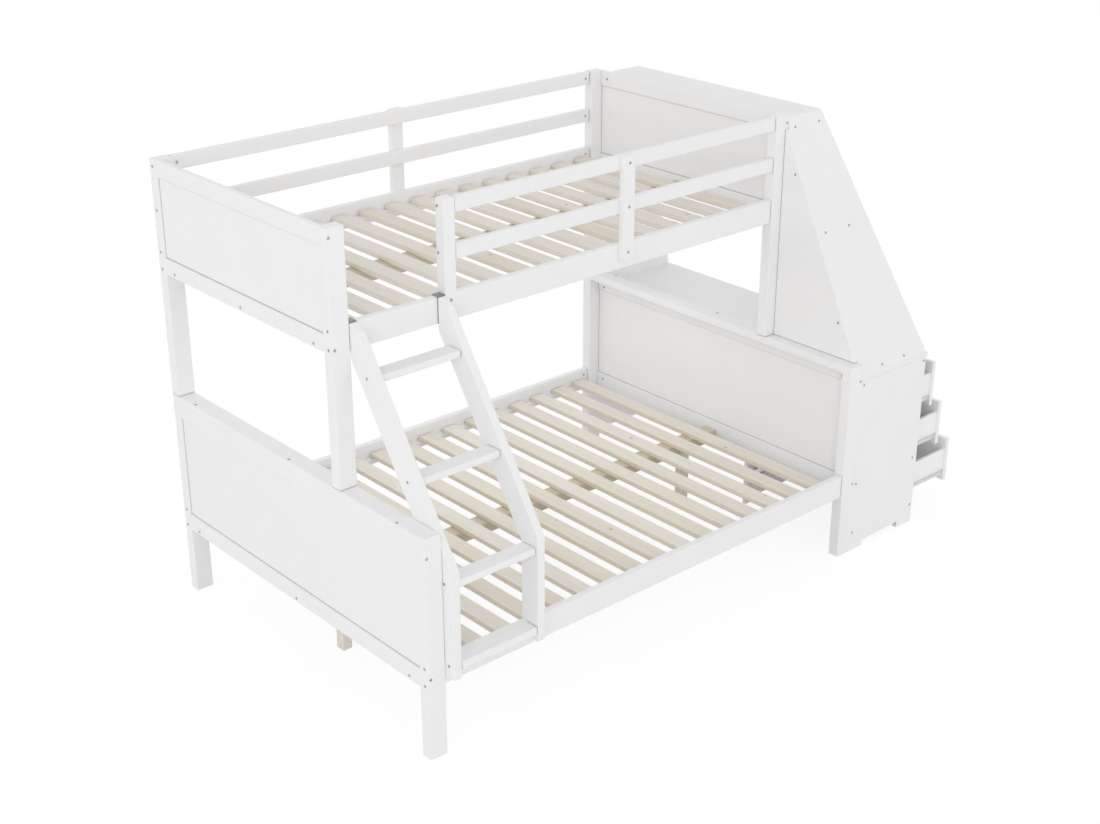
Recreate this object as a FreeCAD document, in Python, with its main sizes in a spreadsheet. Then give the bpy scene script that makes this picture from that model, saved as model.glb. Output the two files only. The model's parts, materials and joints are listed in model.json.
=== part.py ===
import FreeCAD, Part
import os
import Sketcher
from types import SimpleNamespace

# Bunk bed: a twin bunk over a full bunk, with a ladder at the front and a desk, shelves
# and three drawers at one end. +X runs along the bed from the plain end to the desk end,
# +Y from the ladder to the wall, +Z up. The origin is on the floor, under the middle of
# the whole outline with the drawers standing open as they are drawn.

SLATS_PER_BUNK = 16
LEANING_RUNGS = 2
SLANT_FOOT_SCREWS = 2
DRAWERS = ("bottom", "middle", "top")

# Driving sizes in millimetres
DRIVING_SIZES = {
    # Whole bed
    "bed_length": 2055,
    "lower_width": 1465,
    "upper_width": 1037,
    "bed_height": 1652,
    "timber_ease": 1.6,
    "sheet_ease": 0.8,
    # Posts and end frames
    "post_along": 66,
    "post_across": 44,
    "lower_post_high": 762,
    "cap_thick": 28,
    "cap_round": 7,
    "end_rail_thick": 18,
    "end_panel_thick": 6,
    "end_panel_recess": 6,
    "lower_end_rail_high": 65,
    "lower_end_top_high": 54,
    "upper_end_rail_high": 60,
    # Side rails and guard rails
    "rail_high": 90,
    "rail_thick": 26,
    "rail_setback": 6,
    "lower_rail_base": 256,
    "upper_rail_drop": 404,
    "guard_high": 52,
    "guard_thick": 22,
    "guard_gap": 108,
    "guard_post_along": 46,
    "guard_post_across": 41,
    "guard_post_proud": 3,
    "guard_lap_deep": 12,
    "guard_lap_high": 44,
    "support_wide": 54,
    "support_thick": 22,
    "support_drop": 56,
    "front_support_from_post": 735,
    # Slats, ledgers and centre beams
    "slat_wide": 68,
    "slat_thick": 20,
    "slat_pitch": 120.2,
    "slat_drop": 38,
    "upper_slat_drop": 30,
    "slat_end_gap": 4,
    "ledger_wide": 20,
    "ledger_high": 22,
    "ledger_end_gap": 4,
    "beam_wide": 65,
    "beam_high": 45,
    "leg_along": 38,
    "leg_across": 40,
    "leg_from_post": 117,
    # Ladder
    "ladder_wide": 372,
    "ladder_front": 46,
    "ladder_side_gap": 1,
    "stile_wide": 80,
    "stile_thick": 30,
    "stile_base": 290,
    "stile_bend_front": 668,
    "stile_bend_back": 630,
    "stile_head_deep": 29.44,
    "stile_head_flat": 8,
    "stile_head_cut": 22,
    "rung_thick": 24,
    "rung_deep": 64,
    "first_rung_middle": 619,
    "top_rung_drop": 157,
    "step_thick": 28,
    "step_setback": 2,
    "hook_thick": 3,
    "hook_drop": 25,
    # Desk and shelves
    "desk_depth": 392,
    "desk_high": 735,
    "desk_lip": 10,
    "board_thick": 18,
    "toe_high": 25,
    "toe_back": 82,
    "toe_front": 92,
    "tower_drop": 12,
    "tower_depth": 195,
    "slant_foot": 2,
    "slant_head_inset": 12,
    "gap_panel_tip": 8,
    "mid_shelf_drop": 20,
    "wall_setback": 44,
    "apron_high": 40,
    "apron_thick": 16,
    "apron_inset": 22,
    # Drawer cabinet
    "cabinet_wide": 556,
    "cabinet_back_gap": 6,
    "cabinet_back_base": 258,
    "stretcher_size": 28,
    "low_stretcher_base": 65,
    "mid_stretcher_thick": 16,
    "stretcher_clear": 1,
    # Drawers
    "front_high": 187,
    "front_thick": 18,
    "front_base": 96,
    "front_gap": 2,
    "front_side_gap": 5,
    "open_bottom": 252,
    "open_middle": 172,
    "open_top": 104,
    "box_long": 340,
    "box_high": 111,
    "box_wall": 12,
    "box_rise": 29,
    "box_floor_thick": 5,
    "box_floor_rise": 8,
    "knob_long": 22,
    "knob_radius": 15,
    "knob_head_long": 12,
    "knob_stem_radius": 8,
    "knob_round": 4,
    # Drawer runners
    "runner_clear": 12.5,
    "runner_metal": 1.2,
    "runner_high": 18,
    "runner_flange": 8,
    "runner_lip": 11,
    "runner_front_gap": 2,
    "channel_high": 32,
    "channel_flange": 9,
    "channel_drop": 8,
    "roller_radius": 6,
    "roller_wide": 7,
    "roller_inset": 10,
    "roller_gap": 0.3,
    # Bolt heads
    "bolt_radius": 5.5,
    "bolt_face_radius": 4.5,
    "bolt_proud": 1.5,
    "rail_bolt_inset": 14,
    "panel_bolt_inset": 56,
    "cap_bolt_inset": 144,
    "end_bolt_inset": 36,
    "lower_low_bolt_rise": 42,
    "lower_top_bolt_drop": 38,
    "upper_low_bolt_rise": 17,
    "guard_bolt_inset": 10,
    "back_bolt_inset": 22,
    "back_bolt_drop": 24,
    "gap_bolt_inset": 24,
    "gap_bolt_rise": 136,
    "gap_bolt_drop": 158,
}


class Size:
    """A length in millimetres with the spreadsheet formula that it comes from."""

    def __init__(self, value, formula):
        self.value = value
        self.formula = formula

    def __add__(self, other):
        other = as_size(other)
        return Size(self.value + other.value, f"({self.formula} + {other.formula})")

    def __sub__(self, other):
        other = as_size(other)
        return Size(self.value - other.value, f"({self.formula} - {other.formula})")

    def __mul__(self, other):
        other = as_size(other)
        return Size(self.value * other.value, f"({self.formula} * {other.formula})")

    def __truediv__(self, other):
        other = as_size(other)
        return Size(self.value / other.value, f"({self.formula} / {other.formula})")

    def __neg__(self):
        return Size(-self.value, f"(0 - {self.formula})")


def as_size(number):
    return number if isinstance(number, Size) else Size(number, str(number))


doc = FreeCAD.newDocument("bunk_bed")
sheet = doc.addObject("Spreadsheet::Sheet", "Sizes")
for row, (alias, number) in enumerate(DRIVING_SIZES.items(), start=1):
    sheet.set(f"A{row}", alias)
    sheet.set(f"B{row}", str(number))
    sheet.setAlias(f"B{row}", alias)
doc.recompute()
d = SimpleNamespace(**{alias: Size(number, f"Sizes.{alias}") for alias, number in DRIVING_SIZES.items()})
zero = as_size(0)
nodes = []

# Places that several pieces share, along X, Y and Z
left_post_in = d.post_along
right_post_in = d.bed_length - d.post_along
bed_middle = d.bed_length / 2
upper_front = d.lower_width - d.upper_width
cap_top = d.lower_post_high + d.cap_thick
lower_rail_top = d.lower_rail_base + d.rail_high
upper_rail_base = d.bed_height - d.upper_rail_drop
upper_rail_top = upper_rail_base + d.rail_high
upper_rail_front = upper_front + d.rail_setback
back_rail_out = d.lower_width - d.rail_setback
top_guard_base = d.bed_height - d.guard_high
mid_guard_base = upper_rail_top + d.guard_gap
ladder_left = left_post_in + d.ladder_side_gap
ladder_right = ladder_left + d.ladder_wide
guard_post_left = ladder_right + d.ladder_side_gap
guard_post_right = guard_post_left + d.guard_post_along
desk_front = d.bed_length + d.desk_depth
desk_under = d.desk_high - d.board_thick
cabinet_inner_near = d.board_thick
cabinet_inner_far = d.cabinet_wide - d.board_thick
wall_panel_out = d.lower_width - d.wall_setback
wall_panel_in = wall_panel_out - d.board_thick
tower_top = d.bed_height - d.tower_drop
mid_shelf_base = upper_rail_base - d.mid_shelf_drop
slant_head = upper_front + d.slant_head_inset
slant_lean = (slant_head - d.slant_foot) / (tower_top - d.desk_high)

# The origin is under the middle of the outline
outline_right = desk_front + d.open_bottom + d.knob_long
origin_x = (outline_right - d.bolt_proud) / 2
origin_y = (back_rail_out + d.support_thick - d.ladder_front) / 2


def place(thing, x, y, z):
    """Moves an object to a point measured from the plain end, the front posts and the floor."""
    for axis, value in (("x", as_size(x) - origin_x), ("y", as_size(y) - origin_y), ("z", as_size(z))):
        thing.setExpression(f"Placement.Base.{axis}", value.formula)


def turn(thing, axis, degrees):
    thing.Placement = FreeCAD.Placement(FreeCAD.Vector(), FreeCAD.Rotation(FreeCAD.Vector(*axis), degrees))


def bind(thing, **sizes):
    for name, value in sizes.items():
        thing.setExpression(name, as_size(value).formula)


def block(name, x, y, z):
    """A square-edged box between two pairs of places along each axis."""
    box = doc.addObject("Part::Box", name)
    spans = [as_size(high) - as_size(low) for low, high in (x, y, z)]
    bind(box, Length=spans[0], Width=spans[1], Height=spans[2])
    place(box, x[0], y[0], z[0])
    return box


def eased(name, blank, ease, kind="Part::Chamfer"):
    """Takes the sharpness off every edge of a blank, as on sanded timber and edged boards."""
    blank.recompute()
    finished = doc.addObject(kind, name)
    finished.Base = blank
    edge_count = len(blank.Shape.Edges)
    finished.Edges = [(edge + 1, ease.value, ease.value) for edge in range(edge_count)]
    return finished


def board(name, x, y, z, ease=d.timber_ease):
    return eased(name, block(f"{name}_blank", x, y, z), ease)


def tapered_board(name, foot, head, z):
    """A board between a level foot rectangle and a level head rectangle, each (x, y) spans."""
    wedge = doc.addObject("Part::Wedge", f"{name}_blank")
    (foot_x, foot_y), (head_x, head_y) = foot, head
    bind(wedge, Xmin=foot_x[0], Xmax=foot_x[1], X2min=head_x[0], X2max=head_x[1])
    bind(wedge, Zmin=-as_size(foot_y[1]), Zmax=-as_size(foot_y[0]))
    bind(wedge, Z2min=-as_size(head_y[1]), Z2max=-as_size(head_y[0]))
    bind(wedge, Ymin=z[0], Ymax=z[1])
    turn(wedge, (1, 0, 0), 90)
    place(wedge, zero, zero, zero)
    return eased(name, wedge, d.sheet_ease)


def outer_edges(shape, corners):
    """The edges to ease on a sawn piece: all but those along inner corners, which a saw leaves sharp."""
    points = [FreeCAD.Vector(0, y.value, z.value) for y, z in corners]
    inner = []
    for before, point, after in zip(points[-1:] + points[:-1], points, points[1:] + points[:1]):
        if (point - before).cross(after - point).x < 0:
            inner.append(point)
    names = []
    for number, edge in enumerate(shape.Edges, start=1):
        ends = [FreeCAD.Vector(0, vertex.Y, vertex.Z) for vertex in edge.Vertexes]
        if not any(all(end.isEqual(point, Part.Precision.confusion()) for end in ends) for point in inner):
            names.append(f"Edge{number}")
    return names


def sawn_board(name, x, outline, ease=None):
    """A piece with one outline in Y and Z, as thick along X as its span."""
    body = doc.addObject("PartDesign::Body", name)
    sketch = body.newObject("Sketcher::SketchObject", f"{name}_outline")
    plane = next(feature for feature in body.Origin.OriginFeatures if feature.Role == "YZ_Plane")
    sketch.AttachmentSupport = [(plane, "")]
    sketch.MapMode = "FlatFace"
    corners = [(as_size(y), as_size(z)) for y, z in outline]
    points = [FreeCAD.Vector(y.value, z.value, 0) for y, z in corners]
    following = points[1:] + points[:1]
    for start, end in zip(points, following):
        sketch.addGeometry(Part.LineSegment(start, end), False)
    for side in range(len(points)):
        after = (side + 1) % len(points)
        sketch.addConstraint(Sketcher.Constraint("Coincident", side, 2, after, 1))
    for side, (y, z) in enumerate(corners):
        for kind, value in (("DistanceX", y), ("DistanceY", z)):
            number = sketch.addConstraint(Sketcher.Constraint(kind, -1, 1, side, 1, value.value))
            sketch.setExpression(f"Constraints[{number}]", value.formula)
    pad = body.newObject("PartDesign::Pad", f"{name}_pad")
    pad.Profile = sketch
    bind(pad, Length=as_size(x[1]) - as_size(x[0]))
    if ease:
        doc.recompute()
        chamfer = body.newObject("PartDesign::Chamfer", f"{name}_edges")
        chamfer.Base = (pad, outer_edges(pad.Shape, corners))
        bind(chamfer, Size=ease)
    place(body, x[0], zero, zero)
    return body


def cylinder(name, radius, length, direction, x, y, z):
    """A cylinder from a point along +X, or along +Y."""
    rod = doc.addObject("Part::Cylinder", name)
    bind(rod, Radius=radius, Height=length)
    axis, degrees = {"x": ((0, 1, 0), 90), "y": ((1, 0, 0), -90)}[direction]
    turn(rod, axis, degrees)
    place(rod, x, y, z)
    return rod


def node(thing):
    nodes.append(thing)
    return thing


def group(name, members):
    """Like pieces that share one node, each a solid of its own."""
    bundle = doc.addObject("Part::Compound", name)
    bundle.Links = members
    return node(bundle)


def from_left(start, end):
    return (start, end)


def from_right(start, end):
    """The same span as from_left, measured back from the desk end of the bed."""
    return (d.bed_length - end, d.bed_length - start)


# End frames: posts, a capped lower part and a narrower upper part, panelled near the outer face
def end_frame(side, span):
    post = span(zero, d.post_along)
    rail = span(zero, d.end_rail_thick)
    panel = span(d.end_panel_recess, d.end_panel_recess + d.end_panel_thick)
    lower_posts = ((zero, d.post_across), (d.lower_width - d.post_across, d.lower_width))
    upper_posts = ((upper_front, upper_front + d.post_across), lower_posts[1])
    lower_gap = (lower_posts[0][1], lower_posts[1][0])
    upper_gap = (upper_posts[0][1], upper_posts[1][0])
    lower_rails = ((d.lower_rail_base, d.lower_rail_base + d.lower_end_rail_high),
                   (d.lower_post_high - d.lower_end_top_high, d.lower_post_high))
    upper_rails = ((upper_rail_base, upper_rail_base + d.upper_end_rail_high),
                   (d.bed_height - d.upper_end_rail_high, d.bed_height))
    posts = [board(f"{side}_lower_post_{i}", post, y, (zero, d.lower_post_high))
             for i, y in enumerate(lower_posts)]
    group(f"{side}_lower_posts", posts)
    posts = [board(f"{side}_upper_post_{i}", post, y, (cap_top, d.bed_height))
             for i, y in enumerate(upper_posts)]
    group(f"{side}_upper_posts", posts)
    for level, rails, gap in (("lower", lower_rails, lower_gap), ("upper", upper_rails, upper_gap)):
        boards = [board(f"{side}_{level}_end_rail_{i}", rail, gap, z) for i, z in enumerate(rails)]
        group(f"{side}_{level}_end_rails", boards)
        between = (rails[0][1], rails[1][0])
        node(board(f"{side}_{level}_panel", panel, gap, between, d.sheet_ease))
    cap = block(f"{side}_cap_blank", post, (zero, d.lower_width), (d.lower_post_high, cap_top))
    return eased(f"{side}_cap", cap, d.cap_round, "Part::Fillet")


caps = [end_frame("left", from_left), end_frame("right", from_right)]
group("end_caps", caps)

# Side rails: the front upper one is housed for the guard post
between_posts = (left_post_in, right_post_in)
lower_rail_z = (d.lower_rail_base, lower_rail_top)
upper_rail_z = (upper_rail_base, upper_rail_top)
lower_front_rail_y = (d.rail_setback, d.rail_setback + d.rail_thick)
back_rail_y = (back_rail_out - d.rail_thick, back_rail_out)
upper_front_rail_y = (upper_rail_front, upper_rail_front + d.rail_thick)
node(board("lower_front_rail", between_posts, lower_front_rail_y, lower_rail_z))
node(board("lower_back_rail", between_posts, back_rail_y, lower_rail_z))
node(board("upper_back_rail", between_posts, back_rail_y, upper_rail_z))

guard_post_x = (guard_post_left, guard_post_right)
lap_base = upper_rail_top - d.guard_lap_high
lap_back = upper_rail_front + d.guard_lap_deep
housed_rail = doc.addObject("Part::Cut", "upper_front_rail")
housed_rail.Base = board("upper_front_rail_board", between_posts, upper_front_rail_y, upper_rail_z)
housing_y = (upper_front, lap_back)
housed_rail.Tool = block("guard_post_housing", guard_post_x, housing_y, (lap_base, d.bed_height))
node(housed_rail)

# Guard rails, the post that ends the front ones at the ladder, and the upright that ties each pair
guard_post_front = upper_rail_front - d.guard_post_proud
guard_post_back = guard_post_front + d.guard_post_across
node(sawn_board("guard_post", guard_post_x, (
    (guard_post_front, lap_base),
    (lap_back, lap_base),
    (lap_back, upper_rail_top),
    (guard_post_back, upper_rail_top),
    (guard_post_back, d.bed_height),
    (guard_post_front, d.bed_height),
), d.timber_ease))

guard_levels = ((mid_guard_base, mid_guard_base + d.guard_high), (top_guard_base, d.bed_height))
front_guard_y = (upper_rail_front, upper_rail_front + d.guard_thick)
back_guard_y = (back_rail_out - d.guard_thick, back_rail_out)
front_guard_x = (guard_post_right, right_post_in)
group("front_guard_rails", [board(f"front_guard_{i}", front_guard_x, front_guard_y, z)
                            for i, z in enumerate(guard_levels)])
group("back_guard_rails", [board(f"back_guard_{i}", between_posts, back_guard_y, z)
                           for i, z in enumerate(guard_levels)])

support_z = (upper_rail_top - d.support_drop, d.bed_height)
front_support_right = right_post_in - d.front_support_from_post
front_support_x = (front_support_right - d.support_wide, front_support_right)
back_support_x = (bed_middle - d.support_wide / 2, bed_middle + d.support_wide / 2)
front_support_y = (upper_rail_front - d.support_thick, upper_rail_front)
back_support_y = (back_rail_out, back_rail_out + d.support_thick)
node(board("front_guard_support", front_support_x, front_support_y, support_z))
node(board("back_guard_support", back_support_x, back_support_y, support_z))


# Slats lie on a ledger along each rail, and a beam runs under their middle
def slat_deck(level, slat_top, front_rail_in, back_rail_in):
    slat_base = slat_top - d.slat_thick
    slat_y = (front_rail_in + d.slat_end_gap, back_rail_in - d.slat_end_gap)
    first = bed_middle - d.slat_pitch * ((SLATS_PER_BUNK - 1) / 2) - d.slat_wide / 2
    slats = []
    for number in range(SLATS_PER_BUNK):
        start = first + d.slat_pitch * number
        slat_x = (start, start + d.slat_wide)
        slats.append(board(f"{level}_slat_{number}", slat_x, slat_y, (slat_base, slat_top)))
    group(f"{level}_slats", slats)

    middle = (front_rail_in + back_rail_in) / 2
    beam_x = (d.end_rail_thick, d.bed_length - d.end_rail_thick)
    beam_y = (middle - d.beam_wide / 2, middle + d.beam_wide / 2)
    node(board(f"{level}_beam", beam_x, beam_y, (slat_base - d.beam_high, slat_base)))

    ledger_x = (left_post_in + d.ledger_end_gap, right_post_in - d.ledger_end_gap)
    ledger_z = (slat_base - d.ledger_high, slat_base)
    sides = ((front_rail_in, front_rail_in + d.ledger_wide), (back_rail_in - d.ledger_wide, back_rail_in))
    return [board(f"{level}_ledger_{i}", ledger_x, y, ledger_z) for i, y in enumerate(sides)]


lower_ledgers = slat_deck("lower", lower_rail_top - d.slat_drop, lower_front_rail_y[1], back_rail_y[0])
upper_ledgers = slat_deck("upper", upper_rail_top - d.upper_slat_drop, upper_front_rail_y[1], back_rail_y[0])
group("slat_ledgers", lower_ledgers + upper_ledgers)

# Two legs carry the lower beam
beam_middle = (lower_front_rail_y[1] + back_rail_y[0]) / 2
beam_under = lower_rail_top - d.slat_drop - d.slat_thick - d.beam_high
leg_y = (beam_middle - d.leg_across / 2, beam_middle + d.leg_across / 2)
leg_middles = (left_post_in + d.leg_from_post, right_post_in - d.leg_from_post)
legs = [board(f"beam_leg_{i}", (x - d.leg_along / 2, x + d.leg_along / 2), leg_y, (zero, beam_under))
        for i, x in enumerate(leg_middles)]
group("beam_legs", legs)

# Ladder: two bent stiles that stand over the lower rail, lean back and hook over the upper rail
stile_front = -d.ladder_front
stile_back = stile_front + d.stile_wide
stile_head_back = upper_rail_front - d.hook_thick
ladder_run = stile_head_back - d.stile_head_deep - stile_front
ladder_lean = ladder_run / (upper_rail_top - d.stile_bend_front)


def stile_front_at(z):
    return stile_front + (z - d.stile_bend_front) * ladder_lean


def stile_back_at(z):
    return stile_back + (z - d.stile_bend_back) * ladder_lean


stile_outline = (
    (stile_front, d.stile_base),
    (d.rail_setback, d.stile_base),
    (d.rail_setback, lower_rail_top),
    (stile_back, lower_rail_top),
    (stile_back, d.stile_bend_back),
    (stile_head_back, d.stile_bend_back + (stile_head_back - stile_back) / ladder_lean),
    (stile_head_back, upper_rail_top),
    (stile_head_back - d.stile_head_flat, upper_rail_top),
    (stile_front_at(upper_rail_top - d.stile_head_cut), upper_rail_top - d.stile_head_cut),
    (stile_front, d.stile_bend_front),
)
left_stile_x = (ladder_left, ladder_left + d.stile_thick)
right_stile_x = (ladder_right - d.stile_thick, ladder_right)
node(sawn_board("ladder_left_stile", left_stile_x, stile_outline, d.timber_ease))
node(sawn_board("ladder_right_stile", right_stile_x, stile_outline, d.timber_ease))

# Rungs sit in the middle of the stiles, the first in the upright part
rung_x = (left_stile_x[1], right_stile_x[0])
rung_pitch = (upper_rail_top - d.top_rung_drop - d.first_rung_middle) / LEANING_RUNGS
rung_middles = [((stile_front + stile_back) / 2, d.first_rung_middle)]
for climb in range(1, LEANING_RUNGS + 1):
    height = d.first_rung_middle + rung_pitch * climb
    rung_middles.append(((stile_front_at(height) + stile_back_at(height)) / 2, height))
rungs = []
for number, (y, z) in enumerate(rung_middles):
    depth = (y - d.rung_deep / 2, y + d.rung_deep / 2)
    rungs.append(board(f"ladder_rung_{number}", rung_x, depth, (z - d.rung_thick / 2, z + d.rung_thick / 2)))
group("ladder_rungs", rungs)
step_y = (stile_front + d.step_setback, d.rail_setback)
node(board("ladder_step", rung_x, step_y, (lower_rail_top - d.step_thick, lower_rail_top)))

# Each stile hangs on a steel strap that folds over the upper rail
hook_front = upper_rail_front - d.hook_thick
hook_back = upper_front_rail_y[1] + d.hook_thick
hook_outline = (
    (hook_front, upper_rail_base),
    (upper_rail_front, upper_rail_base),
    (upper_rail_front, upper_rail_top),
    (upper_front_rail_y[1], upper_rail_top),
    (upper_front_rail_y[1], upper_rail_top - d.hook_drop),
    (hook_back, upper_rail_top - d.hook_drop),
    (hook_back, upper_rail_top + d.hook_thick),
    (hook_front, upper_rail_top + d.hook_thick),
)
group("ladder_hooks", [sawn_board(f"ladder_hook_{i}", x, hook_outline)
                       for i, x in enumerate((left_stile_x, right_stile_x))])

# Desk: three upright sides with a toe notch carry the top
desk_side_x = (d.bed_length, desk_front)
toe_x = (d.bed_length + d.toe_back, desk_front - d.toe_front)


def desk_side(name, y):
    notched = doc.addObject("Part::Cut", f"{name}_blank")
    notched.Base = block(f"{name}_sheet", desk_side_x, y, (zero, desk_under))
    notched.Tool = block(f"{name}_toe", toe_x, y, (zero, d.toe_high))
    doc.recompute([notched.Base, notched.Tool])
    node(eased(name, notched, d.sheet_ease))


desk_side("drawer_side_panel", (zero, d.board_thick))
desk_side("drawer_divider", (cabinet_inner_far, d.cabinet_wide))
desk_side("desk_wall_side", (d.lower_width - d.board_thick, d.lower_width))
desk_top_x = (d.bed_length, desk_front + d.desk_lip)
node(board("desk_top", desk_top_x, (zero, d.lower_width), (desk_under, d.desk_high)))

# Drawer cabinet: stretchers across its front, the middle one behind the fronts, a corner block, a back board
cabinet_inside = (cabinet_inner_near, cabinet_inner_far)
front_pitch = d.front_high + d.front_gap
stretcher_x = (desk_front - d.stretcher_size, desk_front)
mid_stretcher_front = desk_front - d.front_thick - d.stretcher_clear
mid_stretcher_x = (mid_stretcher_front - d.mid_stretcher_thick, mid_stretcher_front)
mid_stretcher_top = d.front_base + front_pitch + d.box_rise - d.channel_drop - d.stretcher_clear
stretcher_places = (
    (stretcher_x, d.low_stretcher_base),
    (mid_stretcher_x, mid_stretcher_top - d.stretcher_size),
    (stretcher_x, desk_under - d.stretcher_size),
)
stretchers = [board(f"drawer_stretcher_{i}", x, cabinet_inside, (z, z + d.stretcher_size))
              for i, (x, z) in enumerate(stretcher_places)]
cabinet_back = d.bed_length + d.cabinet_back_gap
corner_x = (cabinet_back, cabinet_back + d.stretcher_size)
corner_y = (cabinet_inner_near, cabinet_inner_near + d.stretcher_size)
corner_z = (d.low_stretcher_base, d.low_stretcher_base + d.stretcher_size)
stretchers.append(board("drawer_corner_block", corner_x, corner_y, corner_z))
group("drawer_stretchers", stretchers)
cabinet_back_x = (cabinet_back, cabinet_back + d.board_thick)
cabinet_back_z = (d.cabinet_back_base, desk_under)
node(board("drawer_back_board", cabinet_back_x, cabinet_inside, cabinet_back_z, d.sheet_ease))

# Shelf tower on the desk: a slanted side, an upright wall side, two shelves and two aprons
slant_root = (d.board_thick * d.board_thick + d.board_thick * d.board_thick * slant_lean * slant_lean)
slant_across = Size(slant_root.value ** 0.5, f"sqrt({slant_root.formula})")


def slant_out(z):
    return d.slant_foot + (z - d.desk_high) * slant_lean


def slant_in(z):
    return slant_out(z) + slant_across


tower_z = (d.desk_high, tower_top)
tower_foot_x = (d.bed_length, desk_front)
tower_head_x = (d.bed_length, d.bed_length + d.tower_depth)
slant_foot_y = (d.slant_foot, d.slant_foot + slant_across)
slant_head_y = (slant_head, slant_head + slant_across)
wall_y = (wall_panel_in, wall_panel_out)
node(tapered_board("slanted_panel", (tower_foot_x, slant_foot_y), (tower_head_x, slant_head_y), tower_z))
node(tapered_board("shelf_wall_panel", (tower_foot_x, wall_y), (tower_head_x, wall_y), tower_z))


def shelf(name, x, z):
    """A level board whose front end is cut to the slanted panel."""
    return tapered_board(name, (x, (slant_in(z[0]), wall_panel_in)), (x, (slant_in(z[1]), wall_panel_in)), z)


top_shelf_base = tower_top - d.board_thick
node(shelf("mid_shelf", tower_head_x, (mid_shelf_base, mid_shelf_base + d.board_thick)))
node(shelf("top_shelf", tower_head_x, (top_shelf_base, tower_top)))
apron_starts = (d.bed_length + d.apron_inset, tower_head_x[1] - d.apron_inset - d.apron_thick)
apron_z = (top_shelf_base - d.apron_high, top_shelf_base)
group("shelf_aprons", [shelf(f"shelf_apron_{i}", (x, x + d.apron_thick), apron_z)
                       for i, x in enumerate(apron_starts)])

# A three-cornered panel on the cap closes the gap between the upper post and the slanted panel
gap_x = (d.bed_length - d.board_thick, d.bed_length)
gap_head = d.desk_high + (upper_front - d.gap_panel_tip - d.slant_foot) / slant_lean
node(tapered_board("gap_panel", (gap_x, (slant_out(cap_top), upper_front)),
                   (gap_x, (upper_front - d.gap_panel_tip, upper_front)), (cap_top, gap_head)))

# Drawer runners: a channel on each cabinet side and an angle under each drawer side, with rollers
closed_face = desk_front - d.front_thick
channel_x = (closed_face - d.runner_front_gap - d.box_long, closed_face - d.runner_front_gap)
box_near = cabinet_inner_near + d.runner_clear
box_far = cabinet_inner_far - d.runner_clear


def mirrored(outline):
    """The same outline for the far side of the cabinet."""
    return tuple((d.cabinet_wide - y, z) for y, z in reversed(outline))


def channel_outline(box_base):
    web = cabinet_inner_near + d.runner_metal
    edge = cabinet_inner_near + d.channel_flange
    low = box_base - d.channel_drop
    high = low + d.channel_high
    return (
        (cabinet_inner_near, low),
        (edge, low),
        (edge, low + d.runner_metal),
        (web, low + d.runner_metal),
        (web, high - d.runner_metal),
        (edge, high - d.runner_metal),
        (edge, high),
        (cabinet_inner_near, high),
    )


def angle_outline(box_base):
    web = box_near - d.runner_metal
    edge = web - d.runner_flange
    under = box_base - d.runner_metal
    top = box_base + d.runner_high
    return (
        (web, under),
        (box_near + d.runner_lip, under),
        (box_near + d.runner_lip, box_base),
        (box_near, box_base),
        (box_near, top),
        (edge, top),
        (edge, top - d.runner_metal),
        (web, top - d.runner_metal),
    )


def rollers(name, x, z, near_start):
    """One roller at each side, standing off the metal that carries it."""
    far_start = d.cabinet_wide - near_start - d.roller_wide
    return [cylinder(f"{name}_{i}", d.roller_radius, d.roller_wide, "y", x, y, z)
            for i, y in enumerate((near_start, far_start))]


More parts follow.
